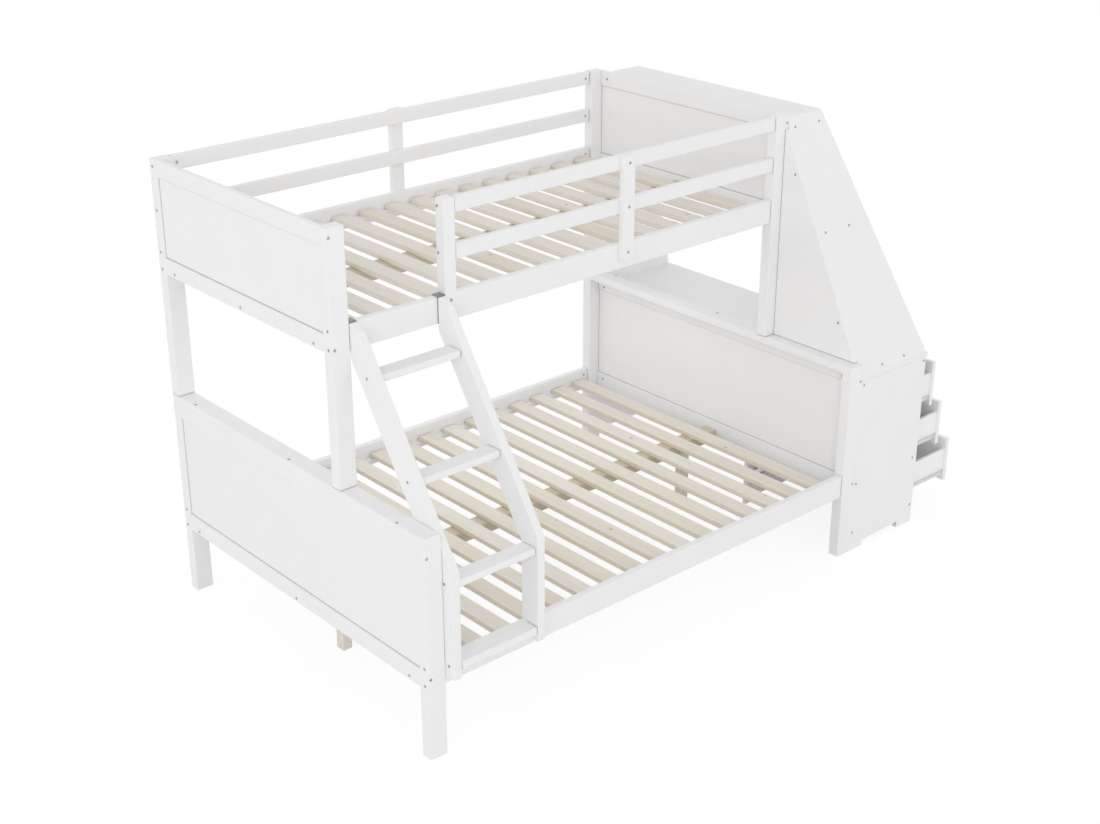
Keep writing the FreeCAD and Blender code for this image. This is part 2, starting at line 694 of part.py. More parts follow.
# Drawers: inset front, box, runners and knob, each pulled out as far as it stands
cabinet_runners = []
for level, name in enumerate(DRAWERS):
    front_base = d.front_base + front_pitch * level
    box_base = front_base + d.box_rise
    face = closed_face + getattr(d, f"open_{name}")
    box_back = face - d.box_long
    front_z = (front_base, front_base + d.front_high)
    front_y = (cabinet_inner_near + d.front_side_gap, cabinet_inner_far - d.front_side_gap)
    front_face = face + d.front_thick
    node(board(f"{name}_drawer_front", (face, front_face), front_y, front_z))

    box_z = (box_base, box_base + d.box_high)
    inner_y = (box_near + d.box_wall, box_far - d.box_wall)
    floor_base = box_base + d.box_floor_rise
    back_in = box_back + d.box_wall
    group(f"{name}_drawer_box", [
        board(f"{name}_box_near", (box_back, face), (box_near, inner_y[0]), box_z, d.sheet_ease),
        board(f"{name}_box_far", (box_back, face), (inner_y[1], box_far), box_z, d.sheet_ease),
        board(f"{name}_box_back", (box_back, back_in), inner_y, box_z, d.sheet_ease),
        block(f"{name}_box_floor", (back_in, face), inner_y, (floor_base, floor_base + d.box_floor_thick)),
    ])

    stem_long = d.knob_long - d.knob_head_long
    knob_y = d.cabinet_wide / 2
    knob_z = front_base + d.front_high / 2
    stem = cylinder(f"{name}_knob_stem", d.knob_stem_radius, stem_long, "x", front_face, knob_y, knob_z)
    head = cylinder(f"{name}_knob_blank", d.knob_radius, d.knob_head_long, "x",
                    front_face + stem_long, knob_y, knob_z)
    head.recompute()
    rims = [edge + 1 for edge, curve in enumerate(head.Shape.Edges) if curve.Closed]
    turned_head = doc.addObject("Part::Fillet", f"{name}_knob_head")
    turned_head.Base = head
    turned_head.Edges = [(rim, d.knob_round.value, d.knob_round.value) for rim in rims]
    knob = doc.addObject("Part::Fuse", f"{name}_drawer_knob")
    knob.Base = stem
    knob.Tool = turned_head
    node(knob)

    angle = angle_outline(box_base)
    flange_under = box_base + d.runner_high - d.runner_metal
    rear_roller_z = box_base - d.channel_drop + d.runner_metal + d.roller_gap + d.roller_radius
    rear_roller_y = box_near - d.runner_metal - d.roller_wide
    group(f"{name}_drawer_runners", [
        sawn_board(f"{name}_angle_near", (box_back, face), angle),
        sawn_board(f"{name}_angle_far", (box_back, face), mirrored(angle)),
    ] + rollers(f"{name}_rear_roller", box_back + d.roller_inset, rear_roller_z, rear_roller_y))

    channel = channel_outline(box_base)
    front_roller_z = flange_under - d.roller_gap - d.roller_radius
    front_roller_y = cabinet_inner_near + d.runner_metal
    cabinet_runners += [
        sawn_board(f"{name}_channel_near", channel_x, channel),
        sawn_board(f"{name}_channel_far", channel_x, mirrored(channel)),
    ] + rollers(f"{name}_front_roller", channel_x[1] - d.roller_inset, front_roller_z, front_roller_y)
group("cabinet_runners", cabinet_runners)

# Bolt heads, each standing a little proud of the face that it clamps
FACING = {"left": ((0, 1, 0), -90), "right": ((0, 1, 0), 90), "front": ((1, 0, 0), 90), "up": ((0, 0, 1), 0)}
bolts = []


def bolt(facing, x, y, z):
    head = doc.addObject("Part::Cone", f"bolt_{len(bolts)}")
    bind(head, Radius1=d.bolt_radius, Radius2=d.bolt_face_radius, Height=d.bolt_proud)
    turn(head, *FACING[facing])
    place(head, x, y, z)
    bolts.append(head)
    return head


# Rail and panel bolts on the plain end
lower_rail_bolts = (d.lower_rail_base + d.rail_bolt_inset, lower_rail_top - d.rail_bolt_inset)
upper_rail_bolts = (upper_rail_base + d.rail_bolt_inset, upper_rail_top - d.rail_bolt_inset)
guard_bolts = tuple(base + d.guard_high / 2 for base in (mid_guard_base, top_guard_base))
back_bolt_y = back_rail_out - d.rail_thick / 2
lower_front_bolt_y = d.rail_setback + d.rail_thick / 2
upper_front_bolt_y = upper_rail_front + d.rail_thick / 2
for z in upper_rail_bolts + guard_bolts + lower_rail_bolts:
    bolt("left", zero, back_bolt_y, z)
for z in upper_rail_bolts:
    bolt("left", zero, upper_front_bolt_y, z)
for z in lower_rail_bolts:
    bolt("left", zero, lower_front_bolt_y, z)
for front, z in ((zero, lower_rail_bolts[0]), (upper_front, upper_rail_bolts[0])):
    nearest = front + d.post_across + d.panel_bolt_inset
    farthest = d.lower_width - d.post_across - d.panel_bolt_inset
    for y in (nearest, (nearest + farthest) / 2, farthest):
        bolt("left", zero, y, z)

# Bolts through the front posts and the caps into the end rails. The gap panel covers two at the desk end
rail_middle = d.end_rail_thick / 2
lower_end_bolts = (d.lower_rail_base + d.lower_low_bolt_rise, d.lower_post_high - d.lower_top_bolt_drop)
upper_end_bolts = (upper_rail_base + d.upper_low_bolt_rise, d.bed_height - d.upper_end_rail_high / 2)
cap_bolts = (d.lower_width - d.cap_bolt_inset, d.lower_width / 2, d.cap_bolt_inset)
end_bolts = (
    (rail_middle, upper_end_bolts, cap_bolts),
    (d.bed_length - rail_middle, upper_end_bolts[1:], cap_bolts[:2]),
)
for x, upper_row, cap_row in end_bolts:
    for z in lower_end_bolts:
        bolt("front", x, zero, z)
    for z in upper_row:
        bolt("front", x, upper_front, z)
    for y in cap_row:
        bolt("up", x, y, cap_top)

# Bolts on the inner face of the desk end's rails, beside the posts
end_bolt_x = d.bed_length - d.end_rail_thick
far_end_bolt = d.lower_width - d.post_across - d.end_bolt_inset
for front, rows in ((zero, lower_end_bolts), (upper_front, upper_end_bolts)):
    for z in rows:
        bolt("left", end_bolt_x, front + d.post_across + d.end_bolt_inset, z)
        bolt("left", end_bolt_x, far_end_bolt, z)

# Bolts through the stiles into the rungs and the step
step_middle = ((step_y[0] + step_y[1]) / 2, lower_rail_top - d.step_thick / 2)
for y, z in rung_middles + [step_middle]:
    bolt("left", ladder_left, y, z)
    bolt("right", ladder_right, y, z)

# Guard post and front support bolts
for z in guard_bolts:
    bolt("left", guard_post_left, guard_post_back - d.guard_bolt_inset, z)
support_middle = (front_support_x[0] + front_support_x[1]) / 2
for z in guard_bolts + (upper_rail_top - d.support_drop / 2,):
    bolt("front", support_middle, upper_rail_front - d.support_thick, z)

# Bolts on the inner faces of the back rails, beside the posts
for x in (left_post_in + d.back_bolt_inset, right_post_in - d.back_bolt_inset):
    for z in guard_bolts:
        bolt("front", x, back_guard_y[0], z)
    for rail_top in (lower_rail_top, upper_rail_top):
        bolt("front", x, back_rail_y[0], rail_top - d.back_bolt_drop)

# Screws through the drawer side into the stretchers and the back board
for (back, front), base in stretcher_places:
    for x in ((back + front) / 2, cabinet_back + d.board_thick / 2):
        bolt("front", x, zero, base + d.stretcher_size / 2)

# Screws through the slanted panel, square to its face
slant_rows = (
    (top_shelf_base - d.apron_high / 2, [x + d.apron_thick / 2 for x in apron_starts]),
    (mid_shelf_base + d.board_thick / 2, [x + d.apron_thick / 2 for x in apron_starts]),
    (d.desk_high + d.board_thick, [d.bed_length + d.desk_depth * number / (SLANT_FOOT_SCREWS + 1)
                                   for number in range(1, SLANT_FOOT_SCREWS + 1)]),
)
for z, across in slant_rows:
    for x in across:
        head = bolt("front", x, slant_out(z), z)
        head.setExpression("Placement.Rotation.Angle", f"90 deg - atan({slant_lean.formula})")

# Bolts that hold the gap panel to the slanted one
for z in (cap_top + d.gap_bolt_rise, gap_head - d.gap_bolt_drop):
    bolt("left", gap_x[0], slant_out(z) + d.gap_bolt_inset, z)
group("bolts", bolts)

# Every object has to be sound before anything is written
doc.recompute()
for thing in doc.Objects:
    if "Invalid" in thing.State or "Error" in thing.State:
        raise RuntimeError(f"{thing.Label} did not recompute: {thing.State}")
for piece in nodes:
    if piece.Shape.isNull() or not piece.Shape.isValid():
        raise RuntimeError(f"{piece.Label} has no valid shape")

os.makedirs("parts", exist_ok=True)
for piece in nodes:
    piece.Shape.exportStep(f"parts/{piece.Label}.step")
print(len(nodes), "nodes,", sum(len(piece.Shape.Solids) for piece in nodes), "solids")
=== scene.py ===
import json
import math
import random
import bmesh
import bpy
from mathutils import Matrix, Vector

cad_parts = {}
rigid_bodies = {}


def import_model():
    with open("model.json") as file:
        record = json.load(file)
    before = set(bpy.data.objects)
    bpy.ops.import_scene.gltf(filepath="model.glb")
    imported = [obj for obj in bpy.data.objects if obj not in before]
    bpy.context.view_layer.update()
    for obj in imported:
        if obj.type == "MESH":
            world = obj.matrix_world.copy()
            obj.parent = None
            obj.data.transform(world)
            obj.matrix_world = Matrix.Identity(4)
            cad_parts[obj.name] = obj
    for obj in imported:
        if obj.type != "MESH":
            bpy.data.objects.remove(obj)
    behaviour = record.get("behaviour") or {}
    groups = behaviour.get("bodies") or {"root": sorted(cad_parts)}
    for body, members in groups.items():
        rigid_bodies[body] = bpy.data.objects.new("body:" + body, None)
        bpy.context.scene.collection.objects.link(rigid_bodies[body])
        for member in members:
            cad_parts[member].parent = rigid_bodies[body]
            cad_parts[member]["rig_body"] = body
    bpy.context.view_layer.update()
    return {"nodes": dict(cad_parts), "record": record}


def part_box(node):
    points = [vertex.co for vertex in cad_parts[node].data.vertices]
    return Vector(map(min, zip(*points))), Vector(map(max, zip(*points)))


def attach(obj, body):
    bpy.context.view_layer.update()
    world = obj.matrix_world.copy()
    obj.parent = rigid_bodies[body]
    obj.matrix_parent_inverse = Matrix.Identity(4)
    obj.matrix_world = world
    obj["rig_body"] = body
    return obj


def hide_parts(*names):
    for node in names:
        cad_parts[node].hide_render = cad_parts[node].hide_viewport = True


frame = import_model()
scene = bpy.context.scene
scene.view_settings.view_transform = "Standard"

# End posts: four square timber posts at each end, the upper pair standing on the cap.
# They are planed pine under a satin white coat, with softly rounded arrises, and every other
# white timber of the bed is made and painted the same way.
POST_ROUND = 0.0024
PAINT_WHITE = (0.922, 0.920, 0.929)
PAINT_CLOUD = 0.982
PAINT_ROUGH = (0.36, 0.50)
PAINT_DEEP = 0.0002
PAINT_RELIEF = 0.5
PAINT_GLOSS = 0.35
GRAIN_ALONG = 7
GRAIN_ACROSS = 170
STIPPLE_SCALE = 620
SMUDGE_SCALE = 46
CLOUD_SCALE = 5.5
# The joint grey and its reach are painted shade: the paint greys where parts meet, for the shadow in the
# gap.
JOINT_SHADE_GREY = (0.34, 0.34, 0.34)
JOINT_REACH = 0.005
HAIR = 0.00001  # two places closer than this are one
slot_of = {piece["node"]: piece["material_slot"] for piece in frame["record"]["subparts"]}


def shader_node(tree, kind, inputs=None, **settings):
    """A shader node with its settings, and its inputs set to a value or joined to a socket."""
    made = tree.nodes.new(kind)
    for name, value in settings.items():
        setattr(made, name, value)
    for name, value in (inputs or {}).items():
        if isinstance(value, bpy.types.NodeSocket):
            tree.links.new(value, made.inputs[name])
        else:
            made.inputs[name].default_value = value
    return made


def effect(name, inputs, outputs):
    """An empty node group with float, colour or vector sockets, and its two ends."""
    group = bpy.data.node_groups.new(name, "ShaderNodeTree")
    for direction, sockets in (("INPUT", inputs), ("OUTPUT", outputs)):
        for socket, kind in sockets.items():
            group.interface.new_socket(socket, in_out=direction, socket_type=f"NodeSocket{kind}")
    return group, group.nodes.new("NodeGroupInput").outputs, group.nodes.new("NodeGroupOutput").inputs


def noise(tree, place, scale, stretch=(1, 1, 1), detail=2):
    """Soft noise over a surface, drawn out along an axis by a smaller stretch there."""
    spread = shader_node(tree, "ShaderNodeMapping", {"Vector": place, "Scale": stretch}).outputs["Vector"]
    soft = shader_node(tree, "ShaderNodeTexNoise", {"Vector": spread, "Scale": scale, "Detail": detail})
    return soft.outputs["Fac"]


def sum_of(tree, *parts):
    """The weighted sum of some values, each a socket and its share."""
    total = None
    for value, share in parts:
        term = shader_node(tree, "ShaderNodeMath", {0: value, 1: share}, operation="MULTIPLY").outputs[0]
        if total is not None:
            term = shader_node(tree, "ShaderNodeMath", {0: total, 1: term}, operation="ADD").outputs[0]
        total = term
    return total


def between(tree, share, low, high):
    """A value that runs from low to high as a socket runs from 0 to 1."""
    run = shader_node(tree, "ShaderNodeMapRange", {"Value": share, "To Min": low, "To Max": high})
    return run.outputs["Result"]


def two_tones(tree, share, first, second):
    """A colour ramp between two colours, each a place on the ramp and its red, green and blue."""
    ramp = shader_node(tree, "ShaderNodeValToRGB", {"Fac": share})
    for element, (place, colour) in zip(ramp.color_ramp.elements, (first, second)):
        element.position = place
        element.color = (*colour, 1)
    return ramp.outputs["Color"]


def clouded(tree, cloud, colour, dimmest, low=0.3, high=0.7):
    """A colour that drifts from a dimmer share of itself to its full tone as the cloud rises."""
    return two_tones(tree, cloud, (low, [channel * dimmest for channel in colour]), (high, colour))


def covered(tree, share, under, cover):
    """A colour covered by another as far as the share says. The Mix node repeats its sockets' names
    for each kind of value, so the colour ones go by number."""
    mixed = shader_node(tree, "ShaderNodeMix", {0: share, 6: under, 7: (*cover, 1)}, data_type="RGBA")
    return mixed.outputs[2]


def raise_surface(tree, shader, height, strength, depth):
    """Bumps a shader's surface by a height, over a depth in metres."""
    bump = shader_node(tree, "ShaderNodeBump", {"Height": height, "Strength": strength, "Distance": depth})
    tree.links.new(bump.outputs["Normal"], shader.inputs["Normal"])


def new_material(name):
    """A material, its node tree and its shader."""
    material = bpy.data.materials.new(name)
    material.use_nodes = True
    return material, material.node_tree, material.node_tree.nodes["Principled BSDF"]


def place_on_piece(tree):
    return shader_node(tree, "ShaderNodeTexCoord").outputs["Object"]


paint_skin, skin_in, skin_out = effect("paint_skin", {"Place": "Vector", "Grain": "Vector"},
                                       {"Cloud": "Float", "Sheen": "Float", "Height": "Float"})
stipple = noise(paint_skin, skin_in["Place"], STIPPLE_SCALE, detail=3)
smudge = noise(paint_skin, skin_in["Place"], SMUDGE_SCALE, detail=3)
raised_grain = noise(paint_skin, skin_in["Grain"], 1, detail=3)
paint_skin.links.new(noise(paint_skin, skin_in["Place"], CLOUD_SCALE, detail=4), skin_out["Cloud"])
paint_skin.links.new(sum_of(paint_skin, (smudge, 0.6), (stipple, 0.4)), skin_out["Sheen"])
paint_skin.links.new(sum_of(paint_skin, (stipple, 0.35), (raised_grain, 0.65)), skin_out["Height"])


def white_paint(name, grain_scale, depth=PAINT_DEEP):
    """Satin white paint over timber whose fibres run where the grain scale is smallest. It greys
    towards a board's joints by the board's joint shade value: painted shade for the shadow in the gaps."""
    material, tree, shader = new_material(name)
    place = place_on_piece(tree)
    grain = shader_node(tree, "ShaderNodeMapping", {"Vector": place, "Scale": grain_scale})
    skin = shader_node(tree, "ShaderNodeGroup", node_tree=paint_skin)
    tree.links.new(place, skin.inputs["Place"])
    tree.links.new(grain.outputs["Vector"], skin.inputs["Grain"])
    tone = clouded(tree, skin.outputs["Cloud"], PAINT_WHITE, PAINT_CLOUD)
    joint_shade = shader_node(tree, "ShaderNodeAttribute", attribute_name="joint_shade").outputs["Fac"]
    tree.links.new(covered(tree, joint_shade, tone, JOINT_SHADE_GREY), shader.inputs["Base Color"])
    tree.links.new(between(tree, skin.outputs["Sheen"], *PAINT_ROUGH), shader.inputs["Roughness"])
    raise_surface(tree, shader, skin.outputs["Height"], PAINT_RELIEF, depth)
    shader.inputs["Specular IOR Level"].default_value = PAINT_GLOSS
    return material


paint_up = white_paint("white_paint_upright", (GRAIN_ACROSS, GRAIN_ACROSS, GRAIN_ALONG))
paint_along = white_paint("white_paint_lengthways", (GRAIN_ALONG, GRAIN_ACROSS, GRAIN_ACROSS))
paint_across = white_paint("white_paint_crossways", (GRAIN_ACROSS, GRAIN_ALONG, GRAIN_ACROSS))


def box_of(corners):
    """The low and the high corner of the box round some places."""
    low = Vector(min(corner[axis] for corner in corners) for axis in range(3))
    high = Vector(max(corner[axis] for corner in corners) for axis in range(3))
    return low, high


def solids(node):
    """The corners of each solid in a node, in order from the plain end, the front and the floor.
    Solids that touch may share an edge, which then has four faces and isn't crossed."""
    shell = bmesh.new()
    shell.from_mesh(frame["nodes"][node].data)
    bmesh.ops.remove_doubles(shell, verts=shell.verts, dist=HAIR)
    waiting = set(shell.faces)
    found = []
    while waiting:
        reached = [waiting.pop()]
        corners = set()
        while reached:
            face = reached.pop()
            corners.update(face.verts)
            for edge in face.edges:
                beyond = waiting.intersection(edge.link_faces) if edge.is_manifold else ()
                waiting.difference_update(beyond)
                reached.extend(beyond)
        found.append([vertex.co.copy() for vertex in corners])
    shell.free()
    return sorted(found, key=lambda corners: tuple(round(value, 4) for value in box_of(corners)[0]))


def round_edges(mesh, edges, radius, segments=3):
    """Rounds some edges over to a radius, in a few flat steps."""
    bmesh.ops.bevel(mesh, geom=edges, offset=radius, segments=segments, profile=0.5, affect="EDGES",
                    material=-1, offset_type="OFFSET", clamp_overlap=True)


def add_block(mesh, low, high):
    """Adds a block with square arrises between two corners, and gives its vertices."""
    block = bmesh.ops.create_cube(mesh, size=1)["verts"]
    bmesh.ops.scale(mesh, vec=high - low, verts=block)
    bmesh.ops.translate(mesh, vec=(low + high) / 2, verts=block)
    return block


def add_board(mesh, low, high, radius):
    """Adds a board with rounded arrises between two corners, and gives its vertices."""
    earlier = set(mesh.verts)
    block = add_block(mesh, low, high)
    round_edges(mesh, list({edge for vertex in block for edge in vertex.link_edges}), radius)
    return [vertex for vertex in mesh.verts if vertex not in earlier]


def new_piece(name, mesh, body, slot, *materials):
    """A piece from a finished mesh, with its flat faces shaded flat and its arrises shaded round."""
    bmesh.ops.recalc_face_normals(mesh, faces=mesh.faces)
    for face in mesh.faces:
        face.smooth = True
    shape = bpy.data.meshes.new(name)
    mesh.to_mesh(shape)
    mesh.free()
    for material in materials:
        shape.materials.append(material)
    piece = bpy.data.objects.new(name, shape)
    scene.collection.objects.link(piece)
    flat_faces = piece.modifiers.new("flat_faces", "WEIGHTED_NORMAL")
    flat_faces.weight = 100
    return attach(piece, body)


def stand_for(node, mesh, *materials):
    """Makes a finished mesh the piece that stands for a node."""
    body = frame["nodes"][node]["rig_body"]
    piece = new_piece(f"finished_{node}", mesh, body, slot_of[node], *materials)
    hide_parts(node)


def mark_joint_shade(mesh, low, high, joints, reach=JOINT_REACH, filled=()):
    """Gives a mesh its joint shade value, painted shade for the shadow in the gap: 1 at the ends that butt
    on a neighbour, none beyond the reach or on the filled faces. A joint or face is an axis and 0 for its
    low end or 1 for its high end."""
    mark = mesh.verts.layers.float.new("joint_shade")
    ends = [(axis, (low, high)[far][axis], reach if far == 0 else -reach) for axis, far in joints]
    for axis, end, inward in ends:
        across = Vector()
        across[axis] = 1
        bmesh.ops.bisect_plane(mesh, geom=[*mesh.verts, *mesh.edges, *mesh.faces],
                               plane_co=across * (end + inward), plane_no=across)
    for vertex in mesh.verts:
        nearest = min(abs(vertex.co[axis] - end) for axis, end, inward in ends)
        flush = any(abs(vertex.co[axis] - (low, high)[far][axis]) < reach for axis, far in filled)
        vertex[mark] = 0 if flush else max(0, 1 - nearest / reach)


def boards(node, radius, material, joints=(), reach=JOINT_REACH, filled=()):
    """Every solid of a node as a rounded board, greyed with painted shade at its joints."""
    mesh = bmesh.new()
    mesh.verts.layers.float.new("joint_shade")
    for corners in solids(node):
        board = bmesh.new()
        add_board(board, *box_of(corners), radius)
        if joints:
            mark_joint_shade(board, *box_of(corners), joints, reach, filled)
        finished = bpy.data.meshes.new("board")
        board.to_mesh(finished)
        board.free()
        mesh.from_mesh(finished)
        bpy.data.meshes.remove(finished)
    stand_for(node, mesh, material)


for end in ("left", "right"):
    boards(f"{end}_lower_posts", POST_ROUND, paint_up)
    # The upper posts' feet are greyed with painted shade where they stand on the cap.
    boards(f"{end}_upper_posts", POST_ROUND, paint_up, [(2, 0)])

# End rails and panels: at each end two rails join the lower posts and two the upper ones, and
# a thin flat board is let in between them, a little back from their faces. The panel is sprayed
# fibreboard, so it shows no grain. The rail joints are filled on the outside and on top.
END_RAIL_ROUND = 0.0022
PANEL_ROUND = 0.0008
PANEL_REACH = 0.0048
SPRAY_GRAIN = 90
SPRAY_DEEP = 0.00008
paint_panel = white_paint("white_paint_panel", (SPRAY_GRAIN,) * 3, SPRAY_DEEP)
# Rail ends and panel edges are greyed with painted shade where they meet their neighbours.
for end, outside in (("left", 0), ("right", 1)):
    for level in ("lower", "upper"):
        boards(f"{end}_{level}_end_rails", END_RAIL_ROUND, paint_across, [(1, 0), (1, 1)],
               filled=[(0, outside), (2, 1)])
        boards(f"{end}_{level}_panel", PANEL_ROUND, paint_panel, [(1, 0), (1, 1), (2, 0), (2, 1)],
               PANEL_REACH)

# End caps: a flat timber cap lies on the lower posts of each end and carries the upper posts. It is
# painted timber, well rounded over on top and left almost square where it meets the posts.
CAP_CORNER = 0.005
CAP_ROUND = 0.0085
CAP_FOOT = 0.0008
CAP_STEPS = 4
caps = bmesh.new()
for corners in solids("end_caps"):
    low, high = box_of(corners)
    known = set(caps.edges)
    add_block(caps, low, high)
    upright = [edge for edge in caps.edges
               if edge not in known and abs(edge.verts[0].co.z - edge.verts[1].co.z) > HAIR]
    round_edges(caps, upright, CAP_CORNER)
    for height, radius in ((high.z, CAP_ROUND), (low.z, CAP_FOOT)):
        ring = [edge for edge in caps.edges
                if edge not in known and all(abs(vertex.co.z - height) < HAIR for vertex in edge.verts)]
        round_edges(caps, ring, radius, CAP_STEPS)
stand_for("end_caps", caps, paint_across)

# Side rails: planed and painted boards, bolted between the posts. The front upper one is housed
# near its left end for the foot of the guard post.
RAIL_ROUND = 0.0028
LAP_DEEP = 0.012
NEARLY_FLAT = 0.01  # radians
# Rail ends are greyed with painted shade where they butt on the posts.
for rail in ("lower_front_rail", "lower_back_rail", "upper_back_rail"):
    boards(rail, RAIL_ROUND, paint_along, [(0, 0), (0, 1)])


def sawn(mesh, outline, axis, start, end):
    """Adds a piece of one outline, in the other two axes in order, and gives its far face."""
    first, second = [other for other in range(3) if other != axis]
    corners = []
    for u, v in outline:
        corner = Vector()
        corner[axis], corner[first], corner[second] = start, u, v
        corners.append(mesh.verts.new(corner))
    side = mesh.faces.new(corners)
    push = Vector()
    push[axis] = end - start
    pushed = bmesh.ops.extrude_face_region(mesh, geom=[side])["geom"]
    moved = [part for part in pushed if isinstance(part, bmesh.types.BMVert)]
    bmesh.ops.translate(mesh, vec=push, verts=moved)
    bmesh.ops.recalc_face_normals(mesh, faces=mesh.faces)
    return [part for part in pushed if isinstance(part, bmesh.types.BMFace)][0]


post_low, post_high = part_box("guard_post")
rail_low, rail_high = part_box("upper_front_rail")
lap_back = rail_low.y + LAP_DEEP
housed = bmesh.new()
inner_face = sawn(housed, (
    (rail_low.x, rail_low.z),
    (rail_high.x, rail_low.z),
    (rail_high.x, rail_high.z),
    (post_high.x, rail_high.z),
    (post_high.x, post_low.z),
    (post_low.x, post_low.z),
    (post_low.x, rail_high.z),
    (rail_low.x, rail_high.z),
), 1, rail_low.y, lap_back)
housing = [vertex for vertex in inner_face.verts
           if post_low.x - HAIR < vertex.co.x < post_high.x + HAIR]
housing.sort(key=lambda vertex: math.atan2(vertex.co.z - (post_low.z + rail_high.z) / 2,
                                           vertex.co.x - (post_low.x + post_high.x) / 2))
housing_floor = housed.faces.new(housing)
grown = bmesh.ops.extrude_face_region(housed, geom=[inner_face, housing_floor])["geom"]
bmesh.ops.translate(housed, vec=(0, rail_high.y - lap_back, 0),
                    verts=[part for part in grown if isinstance(part, bmesh.types.BMVert)])
bmesh.ops.delete(housed, geom=[inner_face], context="FACES_ONLY")
bmesh.ops.recalc_face_normals(housed, faces=housed.faces)
bmesh.ops.dissolve_limit(housed, angle_limit=NEARLY_FLAT, verts=housed.verts, edges=housed.edges)
outer_edges = [edge for edge in housed.edges
               if edge.is_convex and not all(post_low.x - HAIR < vertex.co.x < post_high.x + HAIR
                                             for vertex in edge.verts)]
round_edges(housed, outer_edges, RAIL_ROUND)
mark_joint_shade(housed, rail_low, rail_high, [(0, 0), (0, 1)])
stand_for("upper_front_rail", housed, paint_along)

# Guard rails: two slim painted boards along the back and two along the front, each pair tied by a
# flat upright screwed to its outer face.
GUARD_ROUND = 0.0042
# Guard rail ends are greyed with painted shade where they meet their neighbours.
for side in ("front", "back"):
    boards(f"{side}_guard_rails", GUARD_ROUND, paint_along, [(0, 0), (0, 1)])
    boards(f"{side}_guard_support", POST_ROUND, paint_up)

# Guard post: a short post that ends the front guard rails beside the ladder. Its foot is lapped
# into the upper rail, where a bare pine plug hides the screw.


def sawn_piece(node, outline, axis, radius, material):
    """A node of one outline, as wide as the node's box, with its outer arrises rounded."""
    mesh = bmesh.new()
    low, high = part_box(node)
    sawn(mesh, outline, axis, low[axis], high[axis])
    round_edges(mesh, [edge for edge in mesh.edges if edge.is_convex], radius)
    stand_for(node, mesh, material)


sawn_piece("guard_post", (
    (post_low.y, post_low.z),
    (lap_back, post_low.z),
    (lap_back, rail_high.z),
    (post_high.y, rail_high.z),
    (post_high.y, post_high.z),
    (post_low.y, post_high.z),
), 0, POST_ROUND, paint_up)

# Slats: sixteen pine laths on each bunk, planed and left bare, with rounded edges. Each lath
# is cut from another length of board, so ring figure, tone and knots differ from lath to lath.
SLAT_ROUND = 0.0042
PINE_PALE = (0.91, 0.88, 0.835)
PINE_DARK = (0.77, 0.70, 0.58)
PINE_ROUGH = (0.55, 0.72)
PINE_DEEP = 0.0003
PINE_RELIEF = 0.5
PINE_GLOSS = 0.3
# Edge shade: painted shade on the laths' side edges, deeper on the lower bunk under the upper deck.
EDGE_SHADE_TONE = {"lower": 1.1, "upper": 0.4}
KNOT_BROWN = (0.60, 0.49, 0.36)
KNOT_CORE = 0.025
KNOT_EDGE = 0.065
WANDER_STRETCH = (2.4, 9, 9)
FIBRE_STRETCH = (14, 520, 520)
RINGS_ASIDE = 0.035
RINGS_UNDER = 0.02
RING_SHARE = 0.22
FIBRE_SHARE = 0.40
TONE_SHARE = 0.38
TIMBER_LONG = 40
PITH_ASIDE = 0.05
PITH_UNDER = (0.02, 0.07)
TIMBER_SEED = 16
figure, figure_in, figure_out = effect("timber_figure", {"Board": "Vector"},
                                       {"Rings": "Float", "Fibre": "Float", "Knot": "Float"})
wander = noise(figure, figure_in["Board"], 1, stretch=WANDER_STRETCH)
sideways = shader_node(figure, "ShaderNodeCombineXYZ", {"Y": sum_of(figure, (wander, RINGS_ASIDE)),
                                                        "Z": sum_of(figure, (wander, RINGS_UNDER))})
wandering = shader_node(figure, "ShaderNodeVectorMath",
                        {0: figure_in["Board"], 1: sideways.outputs["Vector"]}, operation="ADD")
rings = shader_node(figure, "ShaderNodeTexWave",
                    {"Vector": wandering.outputs["Vector"], "Scale": 26, "Distortion": 0.6, "Detail": 2,
                     "Detail Scale": 4}, wave_type="RINGS", rings_direction="X", wave_profile="SAW")
figure.links.new(rings.outputs["Fac"], figure_out["Rings"])
figure.links.new(noise(figure, figure_in["Board"], 1, stretch=FIBRE_STRETCH, detail=3),
                 figure_out["Fibre"])
knots = shader_node(figure, "ShaderNodeTexVoronoi", {"Vector": figure_in["Board"], "Scale": 6.5})
knot = shader_node(figure, "ShaderNodeMapRange",
                   {"Value": knots.outputs["Distance"], "From Min": KNOT_CORE, "From Max": KNOT_EDGE,
                    "To Min": 1, "To Max": 0}, interpolation_type="SMOOTHSTEP")
figure.links.new(knot.outputs["Result"], figure_out["Knot"])


def bare_timber(name, pale, dark):
    """Bare wood between two tones, from the place in the timber and the tone that a board carries."""
    material, tree, shader = new_material(name)
    in_timber = shader_node(tree, "ShaderNodeAttribute", attribute_name="board").outputs["Vector"]
    board_tone = shader_node(tree, "ShaderNodeAttribute", attribute_name="tone").outputs["Fac"]
    grown = shader_node(tree, "ShaderNodeGroup", {"Board": in_timber}, node_tree=figure).outputs
    late_wood = sum_of(tree, (grown["Rings"], RING_SHARE), (grown["Fibre"], FIBRE_SHARE),
                       (board_tone, TONE_SHARE))
    wood = two_tones(tree, late_wood, (0.05, pale), (0.95, dark))
    tree.links.new(covered(tree, grown["Knot"], wood, KNOT_BROWN), shader.inputs["Base Color"])
    tree.links.new(between(tree, grown["Fibre"], *PINE_ROUGH), shader.inputs["Roughness"])
    relief = sum_of(tree, (grown["Rings"], 0.4), (grown["Fibre"], 0.6))
    raise_surface(tree, shader, relief, PINE_RELIEF, PINE_DEEP)
    shader.inputs["Specular IOR Level"].default_value = PINE_GLOSS
    return material


pine = bare_timber("bare_pine", PINE_PALE, PINE_DARK)
chance = random.Random(TIMBER_SEED)


